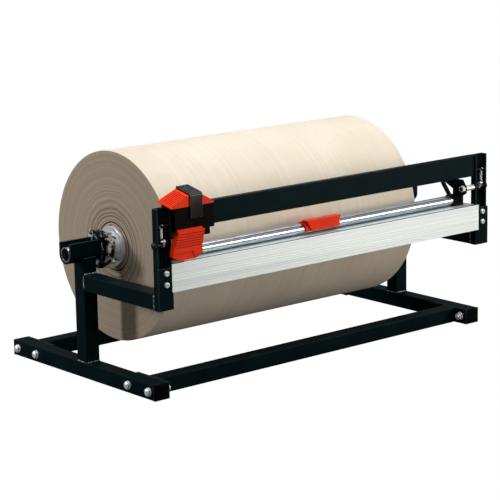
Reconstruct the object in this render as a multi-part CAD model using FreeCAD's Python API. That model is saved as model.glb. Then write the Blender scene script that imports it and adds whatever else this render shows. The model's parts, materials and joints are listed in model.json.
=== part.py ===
import FreeCAD, Part
import math
import os

from FreeCAD import Vector as V

# Counter-top gift wrap cutter: a roll of kraft paper on a steel shaft, held by a welded tube frame,
# with a cutting profile, a spring loaded clamp bar and a sliding cutter head in front of it.
# X runs along the roll, Y from the front to the back, Z up. Left is -X. All sizes are millimetres.
# Everything is drawn from the shaft's axis in Y and is moved to the origin when it is written.

# Frame of square tube
tube_side = 30.0
tube_wall = 2.0
tube_corner_r = 2.6
frame_half_width = 407.0
foot_front = 214.0
foot_rear = 222.0
beam_from_foot_end = 44.0
arm_height = 164.0
cap_thick = 2.5
cap_edge_r = 1.2
cap_fit_gap = 0.1
cap_bolt_gap = 1.0

# Bolted joint between the feet and the cross beams
flange_length = 90.0
flange_thick = 4.0
beam_bolt_spacing = 60.0
m8_r = 4.0
m8_hole_r = 4.5
m8_flats = 13.0
m8_head_high = 5.5
m8_nut_high = 6.5
m8_washer_r = 8.0
m8_washer_thick = 1.6
bolt_dome = 0.9
bolt_dome_lift = 0.4
thread_end = 3.0

# Roll shaft and its open cradles
shaft_height = 233.0
shaft_r = 13.5
shaft_wall = 2.0
running_gap = 0.05
cradle_wall = 4.0
cradle_rise = 21.0
cradle_outboard = 28.0
cradle_inboard = 10.0
shaft_end_inset = 0.5

# Paper roll, its core and the two chucks
paper_width = 600.0
roll_offset = -28.0
paper_r = 175.0
core_bore_r = 35.0
core_wall = 5.0
chuck_flange_r = 38.0
chuck_flange_thick = 6.0
chuck_drum_r = 29.0
chuck_drum_long = 23.0
chuck_disc_r = 36.0
chuck_disc_thick = 8.0
chuck_plug_gap = 0.3
chuck_plug_long = 26.0
chuck_plug_wall = 4.0
chuck_hub_wall = 5.0
chuck_edge_break = 1.2
chuck_screw_r = 4.0
chuck_screw_flats = 10.0
chuck_screw_head_high = 4.5
stop_collar_r = 22.0
stop_collar_wide = 9.0
stop_collar_gap = 0.8
collar_socket_flats = 3.0
collar_socket_deep = 2.5

# Front posts: channels open to the front
post_front = 236.0
post_depth = 14.0
post_wall = 2.0
post_corner_r = 1.8
post_top = 343.0

# Upper rail that the cutter head runs on
rail_high = 42.0
rail_deep = 12.0
rail_wall = 2.0
rail_corner_r = 1.6
rail_front = 232.0

# Aluminium cutting profile
profile_front = 241.0
profile_deep = 38.0
profile_bottom = 195.0
profile_top = 245.0
profile_wall = 2.0
profile_overlap = 4.0
profile_end_gap = 0.5
chamber_floor = 219.0
slot_width = 6.0
slot_deep = 10.0
groove_count = 10
groove_deep = 0.5
groove_high = 1.4
groove_from_top = 5.0
groove_pitch = 4.4
lip_deep = 10.0
liner_wall = 0.8
liner_below_top = 0.5

# Brackets that carry the profile
bracket_thick = 3.0
bracket_foot_gap = 1.0
bracket_high = 239.0
bracket_bolt_mid = 220.0
bracket_bolt_spacing = 20.0
bracket_outer_lip = 1.0
tongue_long = 32.0
tongue_gap = 0.3
m6_r = 3.0
m6_hole_r = 3.3
m6_flats = 10.0
m6_head_high = 4.0
m6_nut_high = 5.0
m6_edge_r = 1.5
m6_socket_flats = 4.0
m6_socket_deep = 2.0
m6_thread_end = 2.0

# Clamp bar: a chromed tube on two levers that hinge in the posts
pivot_front = 229.0
pivot_height = 279.0
pivot_post_gap = 0.4
pivot_head_flats = 12.0
pivot_head_high = 3.5
pivot_washer_r = 7.0
pivot_washer_thick = 1.0
clamp_tube_r = 10.0
clamp_tube_wall = 1.5
clamp_tube_half = 332.0
clamp_tube_front = 208.0
clamp_rest_gap = 0.3
block_long = 30.0
block_high = 20.0
block_deep = 20.0
block_edge_r = 2.0
block_foot_gap = 0.3
spigot_long = 15.0
spigot_gap = 0.1
lever_inset_from_post = 25.0
lever_thick = 4.0
lever_front = 234.2
lever_top = 296.0
lever_rear = 176.0
lever_rear_high = 8.0
lever_heel_high = 3.0
lever_heel_low = 9.0
lever_knee_back = 5.0
lever_knee_low = 15.0
lever_crest_back = 4.0
lever_tab_front = 216.0
lever_tab_rear = 200.0
lever_tab_low = 249.0
strut_thick = 4.0
strut_gap = 9.0
strut_wide = 8.0
strut_foot_front = 203.0
strut_foot_height = 263.0
strut_foot_long = 11.0
strut_foot_high = 3.0
spacer_r = 3.0
spacer_shoulder = 1.5
spacer_end = 1.5
spacer_from_rear = 5.0
spacer_from_top = 4.5
sleeve_r = 5.5
sleeve_end_gap = 0.5
pivot_nut_flats = 11.0
pivot_thread_end = 1.0
grip_long = 84.0
grip_centre = -12.0
grip_band = 3.0
grip_fin_thick = 3.0
grip_fin_low = 60.0
grip_rise = 3.0
grip_drop = 4.0

# Spring, hook plate and anchor pin in each post
crank_thick = 3.0
crank_web_gap = 0.3
crank_reach_up = 7.0
crank_reach_front = 5.0
crank_edge = 1.4
spring_from_outer_face = 12.0
crank_beside_spring = 2.5
spring_turns = 11
spring_r = 3.0
spring_pitch = 1.6
spring_lead = 5.0
wire_r = 0.55
hook_pin_r = 1.4
hook_gap = 0.1
hook_straight = 1.0

# Cutter head
head_left = -376.0
head_long = 86.0
head_front = 247.0
head_rear = 210.0
head_low = 300.0
head_rear_low = 307.0
spine_high = 5.0
spine_inset = 8.0
spine_beyond_rail = 4.0
cap_over_spine = 1.5
rail_glide_gap = 1.2
pad_thick = 1.0
pad_long = 16.0
pad_high = 9.0
pad_inset = 2.0
pad_from_edge = 8.0
head_tab_long = 10.0
head_tab_low = 288.0
head_tab_deep = 8.0
head_split_gap = 0.1
roof_overhang = 8.0
roof_front_z = 341.5
eave_thick = 3.0
roof_tilt = 8.0
roof_left_run = 40.0
roof_right_run = 27.0
roof_rise = 19.0
roof_rib_pitch = 3.4
roof_rib_wide = 1.6
roof_rib_deep = 1.3
button_travel = 3.0
button_gap = 0.4
button_stop_gap = 1.0
button_rib_count = 6
button_rib_deep = 1.6
button_nose_r = 5.0
button_rib_share = 0.4
button_lift = 4.0
button_skirt = 20.0
button_stem_r = 4.0
button_stem_long = 12.0
button_front = 3.0
well_from_front = 7.0
well_deep = 14.0
button_spring_r = 6.0
button_spring_wall = 1.0

# Blade housing and blade
housing_front = 249.0
housing_back = 237.6
housing_ribs = 6
blade_front = 236.3
blade_thick = 0.6
blade_off_floor = 4.0
blade_left = 14.0
blade_tip = 34.0
blade_right = 52.0
blade_shoulder = 11.0
blade_upper = 36.0
boss_r = 9.0
boss_deep = 4.0
boss_from_left = 45.0
boss_above_profile = 18.0
housing_step_deep = 1.2
housing_face = 2.2
housing_step_high = 19.0
housing_rib_low = 27.0
housing_rib_pitch = 4.4
housing_rib_wide = 1.6
housing_rib_deep = 1.0
seat_from_left = 3.0
seat_right = 60.0
seat_high = 4.0
seat_gap = 1.0
screw_r = 2.0
screw_head_r = 3.5
screw_head_high = 1.0
screw_long = 7.0

# Worked out places
frame_inner = frame_half_width - tube_side
cap_plug_depth = beam_from_foot_end - beam_bolt_spacing / 2 - m8_hole_r - cap_bolt_gap
front_beam_y = -foot_front + beam_from_foot_end
rear_beam_y = foot_rear - beam_from_foot_end
cradle_bore_r = shaft_r + running_gap
cradle_r = cradle_bore_r + cradle_wall
cradle_out_x = frame_half_width + cradle_outboard
cradle_in_x = frame_inner - cradle_inboard
shaft_half = cradle_out_x - shaft_end_inset
roll_left = roll_offset - paper_width / 2
roll_right = roll_offset + paper_width / 2
core_r = core_bore_r + core_wall
post_back = post_front - post_depth
rail_bottom = post_top - rail_high
rail_back = rail_front - rail_deep
profile_back = profile_front - profile_deep
slot_front = profile_front - profile_wall
slot_back = slot_front - slot_width
slot_floor = profile_top - slot_deep
clamp_tube_z = profile_top + clamp_tube_r + clamp_rest_gap
lever_x = frame_inner - lever_inset_from_post
sheet_edge = post_front + bracket_thick
depth_shift = (head_front + button_front - foot_rear - cap_thick) / 2


def box(x0, x1, y0, y1, z0, z1):
    low = V(min(x0, x1), min(y0, y1), min(z0, z1))
    return Part.makeBox(abs(x1 - x0), abs(y1 - y0), abs(z1 - z0), low)


def rounded_box(r, along, x0, x1, y0, y1, z0, z1):
    """A box whose four edges that run along the given axis are rounded."""
    shape = box(x0, x1, y0, y1, z0, z1)
    edges = [e for e in shape.Edges if abs(abs(e.tangentAt(0).dot(along)) - 1) < 0.01]
    return shape.makeFillet(r, edges)


def rod(r, start, end):
    way = end - start
    return Part.makeCylinder(r, way.Length, start, way)


def rod_x(r, x0, x1, y, z):
    return rod(r, V(min(x0, x1), y, z), V(max(x0, x1), y, z))


def ring_x(r_out, r_in, x0, x1, y, z):
    return rod_x(r_out, x0, x1, y, z).cut(rod_x(r_in, x0 - 1, x1 + 1, y, z))


def slab(points, way):
    """A flat polygon through the points, thickened along way."""
    return Part.Face(Part.makePolygon(points + [points[0]])).extrude(way)


def slab_x(outline, x0, x1):
    return slab([V(x0, y, z) for y, z in outline], V(x1 - x0, 0, 0))


def slab_y(outline, y0, y1):
    return slab([V(x, y0, z) for x, z in outline], V(0, y1 - y0, 0))


def hexagon(flats, start, way, high):
    """A hexagonal prism on start that grows along way."""
    across = flats / math.sqrt(3)
    side = V(0, 0, 1) if abs(way.x) > 0.5 else V(1, 0, 0)
    other = way.cross(side)
    ring = [start + side * (across * math.cos(a)) + other * (across * math.sin(a))
            for a in [math.radians(60 * k) for k in range(6)]]
    return slab(ring, way * high)


def mirrored(shape):
    return shape.mirror(V(0, 0, 0), V(1, 0, 0))


def save(name, shape):
    moved = shape.copy()
    moved.translate(V(0, depth_shift, 0))
    moved.exportStep("parts/" + name + ".step")


def save_group(name, shapes):
    save(name, Part.makeCompound(shapes))


def save_pair(name, right):
    save(name + "_right", right)
    save(name + "_left", mirrored(right))


def square_tube_y(x0, y0, y1, z0):
    outer = rounded_box(tube_corner_r, V(0, 1, 0), x0, x0 + tube_side, y0, y1, z0, z0 + tube_side)
    w = tube_wall
    return outer.cut(box(x0 + w, x0 + tube_side - w, y0 - 1, y1 + 1, z0 + w, z0 + tube_side - w))


def foot_tube():
    tube = square_tube_y(frame_inner, -foot_front, foot_rear, 0)
    for x, y, z in bolt_places():
        tube = tube.cut(rod_x(m8_hole_r, frame_inner - 1, frame_half_width + 1, y, z))
    return tube


def bolt_places():
    half = beam_bolt_spacing / 2
    return [(frame_half_width, beam_y + side * half, tube_side / 2)
            for beam_y in (front_beam_y, rear_beam_y) for side in (-1, 1)]


def foot_caps():
    inner = tube_side - 2 * tube_wall - 2 * cap_fit_gap
    margin = (tube_side - inner) / 2
    caps = []
    for side in (-1, 1):
        x0 = frame_inner if side > 0 else -frame_half_width
        for y, way in ((-foot_front, -1), (foot_rear, 1)):
            face = box(x0, x0 + tube_side, y, y + way * cap_thick, 0, tube_side)
            edges = [e for e in face.Edges if abs(e.CenterOfMass.y - (y + way * cap_thick)) < 0.01]
            face = face.makeFillet(cap_edge_r, edges)
            plug = box(x0 + margin, x0 + margin + inner, y, y - way * cap_plug_depth,
                       margin, margin + inner)
            caps.append(face.fuse(plug).removeSplitter())
    return caps


def upright():
    outer = rounded_box(tube_corner_r, V(0, 0, 1), frame_inner, frame_half_width,
                        -tube_side / 2, tube_side / 2, tube_side, shaft_height)
    w = tube_wall
    hollow = box(frame_inner + w, frame_half_width - w, -tube_side / 2 + w, tube_side / 2 - w,
                 tube_side - 1, shaft_height + 1)
    saddle = rod_x(cradle_r, frame_inner - 1, frame_half_width + 1, 0, shaft_height)
    above = box(frame_inner - 1, frame_half_width + 1, -tube_side, tube_side,
                shaft_height - math.sqrt(cradle_r ** 2 - (tube_side / 2) ** 2), shaft_height + 5)
    return outer.cut(hollow).cut(saddle).cut(above)


def cradle():
    top = shaft_height + cradle_rise
    long = cradle_out_x - cradle_in_x
    outer = rod_x(cradle_r, cradle_in_x, cradle_out_x, 0, shaft_height)
    outer = outer.fuse(box(cradle_in_x, cradle_out_x, -cradle_r, cradle_r, shaft_height, top))
    inner = rod_x(cradle_bore_r, cradle_in_x - 1, cradle_out_x + 1, 0, shaft_height)
    inner = inner.fuse(box(cradle_in_x - 1, cradle_in_x + long + 1, -cradle_bore_r, cradle_bore_r,
                           shaft_height, top + 1))
    return outer.cut(inner).removeSplitter()


def arm():
    return square_tube_y(frame_inner, -post_back, -tube_side / 2, arm_height)


def post():
    outer = box(frame_inner, frame_half_width, -post_front, -post_back, arm_height, post_top)
    backs = [e for e in outer.Edges if abs(e.tangentAt(0).z) > 0.9 and e.CenterOfMass.y > -post_front + 1]
    outer = outer.makeFillet(post_corner_r, backs)
    hollow = box(frame_inner + post_wall, frame_half_width - post_wall,
                 -post_front - 1, -post_back - post_wall, arm_height - 1, post_top + 1)
    channel = outer.cut(hollow)
    channel = channel.cut(rod_x(m8_r + running_gap, frame_inner - 1, frame_half_width + 1,
                                -pivot_front, pivot_height))
    for x, z in bracket_bolt_places():
        channel = channel.cut(rod(m6_hole_r, V(x, -post_back - post_wall - 1, z), V(x, -post_back + 1, z)))
    return channel


def cross_beam(y):
    half = frame_inner - flange_thick
    outer = rounded_box(tube_corner_r, V(1, 0, 0), -half, half, y - tube_side / 2, y + tube_side / 2,
                        0, tube_side)
    w = tube_wall
    return outer.cut(box(-half - 1, half + 1, y - tube_side / 2 + w, y + tube_side / 2 - w,
                         w, tube_side - w))


def beam_flange(y):
    plate = box(frame_inner - flange_thick, frame_inner, y - flange_length / 2, y + flange_length / 2,
                0, tube_side)
    for side in (-1, 1):
        hole_y = y + side * beam_bolt_spacing / 2
        plate = plate.cut(rod_x(m8_hole_r, frame_inner - flange_thick - 1, frame_inner + 1,
                                hole_y, tube_side / 2))
    return plate


def m8_bolt(tip_x, head_x, y, z, flats, head_high):
    """A hexagon bolt along X with a slightly domed head."""
    head = hexagon(flats, V(head_x, y, z), V(1, 0, 0), head_high)
    dome_r = flats * bolt_dome
    dome = Part.makeSphere(dome_r, V(head_x + head_high - dome_r + bolt_dome_lift, y, z))
    return head.common(dome).fuse(rod_x(m8_r, tip_x, head_x, y, z)).removeSplitter()


def beam_bolts():
    head_x = frame_half_width + m8_washer_thick
    tip_x = frame_inner - flange_thick - m8_washer_thick - m8_nut_high - thread_end
    return [m8_bolt(tip_x, head_x, y, z, m8_flats, m8_head_high) for x, y, z in bolt_places()]


def beam_washers():
    inner_x = frame_inner - flange_thick
    washers = []
    for x, y, z in bolt_places():
        washers.append(ring_x(m8_washer_r, m8_hole_r, x, x + m8_washer_thick, y, z))
        washers.append(ring_x(m8_washer_r, m8_hole_r, inner_x - m8_washer_thick, inner_x, y, z))
    return washers


def hex_nut(flats, bore_r, start, way, high):
    nut = hexagon(flats, start, way, high)
    return nut.cut(rod(bore_r, start - way, start + way * (high + 1)))


def beam_nuts():
    start_x = frame_inner - flange_thick - m8_washer_thick
    return [hex_nut(m8_flats, m8_r, V(start_x, y, z), V(-1, 0, 0), m8_nut_high)
            for x, y, z in bolt_places()]


def both_sides(shapes):
    return shapes + [mirrored(s) for s in shapes]


def roll_shaft():
    return ring_x(shaft_r, shaft_r - shaft_wall, -shaft_half, shaft_half, 0, shaft_height)


def chuck(face_x, out):
    """The chuck against the paper's end at face_x. out is -1 at the left end, 1 at the right."""
    z = shaft_height
    flange_x = face_x + out * chuck_flange_thick
    drum_x = flange_x + out * chuck_drum_long
    disc_x = drum_x + out * chuck_disc_thick
    flange = rod_x(chuck_flange_r, face_x, flange_x, 0, z)
    rims = [e for e in flange.Edges if abs(e.CenterOfMass.x - flange_x) < 0.01 and e.Closed]
    flange = flange.makeChamfer(chuck_edge_break, rims)
    disc = rod_x(chuck_disc_r, drum_x, disc_x, 0, z)
    rims = [e for e in disc.Edges if abs(e.CenterOfMass.x - disc_x) < 0.01 and e.Closed]
    disc = disc.makeChamfer(chuck_edge_break, rims)
    drum = rod_x(chuck_drum_r, flange_x, drum_x, 0, z)
    plug_r = core_bore_r - chuck_plug_gap
    plug = rod_x(plug_r, face_x, face_x - out * chuck_plug_long, 0, z)
    hollow = rod_x(plug_r - chuck_plug_wall, face_x, face_x - out * (chuck_plug_long + 1), 0, z)
    hub = rod_x(shaft_r + chuck_hub_wall, face_x, face_x - out * chuck_plug_long, 0, z)
    body = flange.fuse([disc, drum, plug.cut(hollow), hub]).removeSplitter()
    bore = rod_x(shaft_r + running_gap, -frame_half_width, frame_half_width, 0, z)
    body = body.cut(bore)
    mid_x = flange_x + out * chuck_drum_long / 2
    for way in screw_ways():
        centre = V(mid_x, 0, z)
        body = body.cut(rod(chuck_screw_r, centre, centre + way * (chuck_drum_r + 1)))
    return body


def screw_ways():
    return [V(0, -math.sin(math.radians(a)), math.cos(math.radians(a))) for a in (20, 140, 260)]


def chuck_screws():
    screws = []
    for face_x, out in ((roll_left, -1), (roll_right, 1)):
        mid_x = face_x + out * (chuck_flange_thick + chuck_drum_long / 2)
        for way in screw_ways():
            centre = V(mid_x, 0, shaft_height)
            seat = centre + way * chuck_drum_r
            shank = rod(chuck_screw_r, centre + way * (shaft_r + running_gap), seat)
            head = hexagon(chuck_screw_flats, seat, way, chuck_screw_head_high)
            screws.append(shank.fuse(head).removeSplitter())
    return screws


def stop_collar():
    outer_x = cradle_in_x - stop_collar_gap
    collar = ring_x(stop_collar_r, shaft_r + running_gap, outer_x - stop_collar_wide, outer_x,
                    0, shaft_height)
    mid_x = outer_x - stop_collar_wide / 2
    return collar.cut(rod(m6_r, V(mid_x, 0, shaft_height), V(mid_x, 0, shaft_height + stop_collar_r + 1)))


def collar_screw():
    mid_x = cradle_in_x - stop_collar_gap - stop_collar_wide / 2
    low = shaft_height + shaft_r + running_gap
    screw = rod(m6_r, V(mid_x, 0, low), V(mid_x, 0, shaft_height + stop_collar_r))
    socket_low = V(mid_x, 0, shaft_height + stop_collar_r - collar_socket_deep)
    return screw.cut(hexagon(collar_socket_flats, socket_low, V(0, 0, 1), collar_socket_deep + 1))


def cardboard_core():
    return ring_x(core_r, core_bore_r, roll_left, roll_right, 0, shaft_height)


def paper_roll():
    return ring_x(paper_r, core_r, roll_left, roll_right, 0, shaft_height)


def cutting_profile():
    """The extrusion: a hollow head with the blade slot on top and a ribbed front skirt."""
    half = frame_inner - profile_end_gap
    w = profile_wall
    body = box(-half, half, -profile_front, -profile_back, chamber_floor, profile_top)
    skirt = box(-half, half, -profile_front, -profile_front + w, profile_bottom, chamber_floor)
    lip = box(-half, half, -profile_front, -profile_front + lip_deep, profile_bottom,
              profile_bottom + w)
    chamber = box(-half - 1, half + 1, -slot_front, -profile_back - w, chamber_floor + w, profile_top - w)
    slot_walls = box(-half, half, -slot_front, -slot_back + w, slot_floor - w, profile_top)
    slot = box(-half - 1, half + 1, -slot_front, -slot_back, slot_floor, profile_top + 1)
    skin = box(-half - profile_overlap, half + profile_overlap, -profile_front, -profile_front + w,
               profile_bottom, profile_top)
    shape = body.cut(chamber).fuse(slot_walls).cut(slot).fuse([skirt, lip, skin]).removeSplitter()
    for k in range(groove_count):
        top = profile_top - groove_from_top - k * groove_pitch
        shape = shape.cut(box(-frame_half_width, frame_half_width,
                              -profile_front - 1, -profile_front + groove_deep,
                              top - groove_high, top))
    return shape


def slot_liner():
    """The black plastic channel in the slot, which the blade's tip runs in."""
    half = frame_inner - profile_end_gap
    outer = box(-half, half, -slot_front, -slot_back, slot_floor, profile_top - liner_below_top)
    inner = box(-half - 1, half + 1, -slot_front + liner_wall, -slot_back - liner_wall,
                slot_floor + liner_wall, profile_top + 1)
    return outer.cut(inner)


def bracket_bolt_places():
    x = (frame_half_width + frame_inner) / 2
    return [(x, bracket_bolt_mid + side * bracket_bolt_spacing / 2) for side in (-1, 1)]


def profile_bracket():
    plate = box(frame_inner, frame_half_width + bracket_outer_lip, -sheet_edge, -post_front,
                arm_height + bracket_foot_gap, bracket_high)
    low = chamber_floor + profile_wall + tongue_gap
    high = slot_floor - profile_wall - tongue_gap
    tongue = box(frame_inner - tongue_long, frame_inner + 1, -sheet_edge, -post_front, low, high)
    plate = plate.fuse(tongue).removeSplitter()
    for x, z in bracket_bolt_places():
        plate = plate.cut(rod(m6_hole_r, V(x, -sheet_edge - 1, z), V(x, -post_front + 1, z)))
    return plate


def bracket_bolts():
    bolts = []
    tip_y = -post_back + m6_nut_high + m6_thread_end
    front_y = -sheet_edge - m6_head_high
    for x, z in bracket_bolt_places():
        seat = V(x, -sheet_edge, z)
        head = rod(m6_flats / 2, seat, seat + V(0, -m6_head_high, 0))
        rims = [e for e in head.Edges if e.Closed and abs(e.CenterOfMass.y - front_y) < 0.01]
        head = head.makeFillet(m6_edge_r, rims)
        socket = hexagon(m6_socket_flats, V(x, front_y + m6_socket_deep, z), V(0, -1, 0), m6_socket_deep + 1)
        bolts.append(head.cut(socket).fuse(rod(m6_r, seat, V(x, tip_y, z))).removeSplitter())
    return bolts


def bracket_nuts():
    return [hex_nut(m6_flats, m6_r, V(x, -post_back, z), V(0, 1, 0), m6_nut_high)
            for x, z in bracket_bolt_places()]


def upper_rail():
    outer = rounded_box(rail_corner_r, V(1, 0, 0), -frame_inner, frame_inner, -rail_front, -rail_back,
                        rail_bottom, post_top)
    w = rail_wall
    return outer.cut(box(-frame_inner - 1, frame_inner + 1, -rail_front + w, -rail_back - w,
                         rail_bottom + w, post_top - w))


def clamp_tube():
    return ring_x(clamp_tube_r, clamp_tube_r - clamp_tube_wall, -clamp_tube_half, clamp_tube_half,
                  -clamp_tube_front, clamp_tube_z)


def clamp_block():
    y = -clamp_tube_front
    block = box(clamp_tube_half, clamp_tube_half + block_long, y - block_deep / 2, y + block_deep / 2,
                clamp_tube_z - block_high / 2 + block_foot_gap, clamp_tube_z + block_high / 2)
    edges = [e for e in block.Edges if abs(e.CenterOfMass.x - clamp_tube_half - block_long) < 0.01]
    block = block.makeFillet(block_edge_r, edges)
    spigot_r = clamp_tube_r - clamp_tube_wall - spigot_gap
    spigot = rod_x(spigot_r, clamp_tube_half - spigot_long, clamp_tube_half, y, clamp_tube_z)
    return block.fuse(spigot).removeSplitter().cut(lever_plate())


def lever_plate():
    """The side plate from the hinge to the clamp bar, with a sloping lower edge behind."""
    y = -pivot_front
    z = pivot_height
    slope = [(-lever_front, z + lever_heel_high), (-lever_front, z - lever_heel_low),
             (y + lever_knee_back, z - lever_knee_low), (-lever_tab_front, z - lever_knee_low),
             (-lever_tab_rear, z - lever_heel_high), (-lever_rear, lever_top - lever_rear_high),
             (-lever_rear, lever_top), (y + lever_crest_back, lever_top)]
    x0 = lever_x - lever_thick / 2
    plate = slab_x(slope, x0, x0 + lever_thick)
    tab = box(x0, x0 + lever_thick, -lever_tab_front, -lever_tab_rear, lever_tab_low,
              z - lever_heel_high - 1)
    plate = plate.fuse(tab).removeSplitter()
    hole = rod_x(m8_r, x0 - 1, x0 + lever_thick + 1, y, z)
    pin = rod_x(spacer_r, x0 - 1, x0 + lever_thick + 1, *spacer_place())
    return plate.cut(hole).cut(pin)


def spacer_place():
    return (-(lever_rear + spacer_from_rear), lever_top - spacer_from_top)


def strut_x():
    return lever_x - lever_thick / 2 - strut_gap


def lever_strut():
    """The slim second arm beside the plate, from the end block up to the spacer pin."""
    top_y, top_z = spacer_place()
    foot = V(0, -strut_foot_front, strut_foot_height)
    top = V(0, top_y, top_z)
    run = (top - foot).normalize()
    side = V(0, -run.z, run.y) * (strut_wide / 2)
    low = foot - run * 2
    high = top + run * (strut_wide / 2)
    ring = [low + side, low - side, high - side, high + side]
    ring = [p + V(strut_x() - strut_thick, 0, 0) for p in ring]
    bar = slab(ring, V(strut_thick, 0, 0))
    half_foot = strut_foot_long / 2
    foot_pad = box(strut_x() - strut_thick, strut_x(), foot.y - half_foot, foot.y + half_foot,
                   clamp_tube_z + block_high / 2, strut_foot_height + strut_foot_high)
    bar = bar.fuse(foot_pad).removeSplitter()
    trim = box(0, frame_inner, -post_front, 0, 0, clamp_tube_z + block_high / 2)
    return bar.cut(trim).cut(rod_x(spacer_r, 0, frame_inner, top_y, top_z))


def lever_spacer():
    y, z = spacer_place()
    pin = rod_x(spacer_r, strut_x() - strut_thick - spacer_end, lever_x + lever_thick / 2 + spacer_end,
                y, z)
    collar = rod_x(spacer_r + spacer_shoulder, strut_x(), lever_x - lever_thick / 2, y, z)
    return pin.fuse(collar).removeSplitter()


def pivot_bolt():
    outer = frame_half_width + pivot_post_gap + pivot_washer_thick
    tip = lever_x - lever_thick / 2 - m8_nut_high - pivot_thread_end
    return m8_bolt(tip, outer, -pivot_front, pivot_height, pivot_head_flats, pivot_head_high)


def pivot_washer():
    inner = frame_half_width + pivot_post_gap
    return ring_x(pivot_washer_r, m8_r, inner, inner + pivot_washer_thick, -pivot_front, pivot_height)


def pivot_sleeve():
    return ring_x(sleeve_r, m8_r, lever_x + lever_thick / 2, frame_inner - sleeve_end_gap,
                  -pivot_front, pivot_height)


def pivot_nut():
    start = V(lever_x - lever_thick / 2, -pivot_front, pivot_height)
    return hex_nut(pivot_nut_flats, m8_r, start, V(-1, 0, 0), m8_nut_high)


def spring_x():
    return frame_half_width - spring_from_outer_face


def hook_bend_r():
    return hook_pin_r + wire_r + hook_gap


def spring_crank():
    """The small plate on the pivot that the clamp spring pulls up."""
    x0 = spring_x() - crank_beside_spring - crank_thick
    y = -pivot_front
    z = pivot_height
    hook_y, hook_z = hook_place()
    room = post_depth - post_wall - (post_front - pivot_front)
    hub_r = room - crank_web_gap
    tip_r = hook_pin_r + crank_edge
    arm_way = V(0, hook_y - y, hook_z - z).normalize()
    side = V(0, -arm_way.z, arm_way.y)
    hub_at = V(x0, y, z)
    tip_at = V(x0, hook_y, hook_z)
    arm_plate = slab([hub_at + side * hub_r, hub_at - side * hub_r, tip_at - side * tip_r,
                      tip_at + side * tip_r], V(crank_thick, 0, 0))
    plate = arm_plate.fuse([rod_x(hub_r, x0, x0 + crank_thick, y, z),
                            rod_x(tip_r, x0, x0 + crank_thick, hook_y, hook_z)]).removeSplitter()
    plate = plate.cut(rod_x(m8_r, x0 - 1, x0 + crank_thick + 1, y, z))
    pin = rod_x(hook_pin_r, x0 + crank_thick, spring_x() + 2 * hook_pin_r, hook_y, hook_z)
    return plate.fuse(pin).removeSplitter()


def hook_place():
    """Centre of the crank's pin, in front of the hinge. The spring's wire runs up behind it."""
    return (-pivot_front - crank_reach_front, pivot_height + crank_reach_up)


def anchor_z():
    return hook_place()[1] + 2 * spring_lead + spring_turns * spring_pitch


def biarc(p, tp, q, tq):
    """Two arcs that meet smoothly, from p along tp to q along tq."""
    gap = q - p
    s = tp + tq
    a = 2 * (1 - tp.dot(tq))
    b = 2 * gap.dot(s)
    c = -gap.dot(gap)
    reach = -c / b if abs(a) < 1e-9 else (-b + math.sqrt(b * b - 4 * a * c)) / (2 * a)
    first = p + tp * reach
    last = q - tq * reach
    joint = (first + last) * 0.5
    return [arc_from(p, tp, joint), arc_from(joint, (last - first).normalize(), q)]


def arc_from(start, tangent, end):
    """The arc from start to end that leaves start along tangent."""
    chord = end - start
    half = chord * 0.5
    side = half.cross(tangent).cross(half)
    if side.Length < 1e-9:
        return Part.LineSegment(start, end)
    side = side.normalize()
    turn = math.acos(max(-1.0, min(1.0, tangent.dot(chord) / chord.Length)))
    rise = half.Length * math.tan(turn / 2)
    return Part.Arc(start, start + half + side * rise, end)


def half_loop(centre, way):
    """Half a turn of wire over or under a pin, from the wire's line to the far side."""
    bend = hook_bend_r()
    near = centre + V(0, bend, 0)
    far = centre + V(0, -bend, 0)
    return Part.Arc(near, centre + V(0, 0, way * bend), far)


def clamp_spring():
    """A tension spring, one wire from the loop under the crank's pin to the loop over the anchor."""
    pin_y, pin_z = hook_place()
    x = spring_x()
    y = pin_y + hook_bend_r()
    base_z = pin_z + spring_lead
    rise = spring_pitch / (2 * math.pi * spring_r)
    points = []
    tangents = []
    for k in range(spring_turns * 4 + 1):
        angle = math.pi / 2 * k
        points.append(V(x + spring_r * math.cos(angle), y + spring_r * math.sin(angle),
                        base_z + spring_pitch * k / 4))
        tangents.append(V(-math.sin(angle), math.cos(angle), rise).normalize())
    up = V(0, 0, 1)
    low = V(x, y, pin_z)
    high = V(x, y, anchor_z())
    low_bend = V(x, y, pin_z + hook_straight)
    high_bend = V(x, y, anchor_z() - hook_straight)
    loop = half_loop(V(x, pin_y, pin_z), -1)
    start = V(x, pin_y - hook_bend_r(), pin_z)
    edges = [loop, Part.LineSegment(low, low_bend)]
    edges += biarc(low_bend, up, points[0], tangents[0])
    for k in range(spring_turns * 4):
        edges += biarc(points[k], tangents[k], points[k + 1], tangents[k + 1])
    edges += biarc(points[-1], tangents[-1], high_bend, up)
    edges += [Part.LineSegment(high_bend, high), half_loop(V(x, pin_y, anchor_z()), 1)]
    path = Part.Wire(Part.__sortEdges__([e.toShape() for e in edges]))
    section = Part.Wire([Part.Circle(start, up, wire_r).toShape()])
    spring = path.makePipeShell([section], True, False)
    print("spring least gap between turns", round(spring_pitch - 2 * wire_r, 2),
          "volume", round(spring.Volume, 1), "section times length",
          round(math.pi * wire_r ** 2 * path.Length, 1))
    return spring


def anchor_pin():
    inner = frame_inner + post_wall
    return rod_x(hook_pin_r, inner, frame_half_width - post_wall, hook_place()[0], anchor_z())


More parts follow.
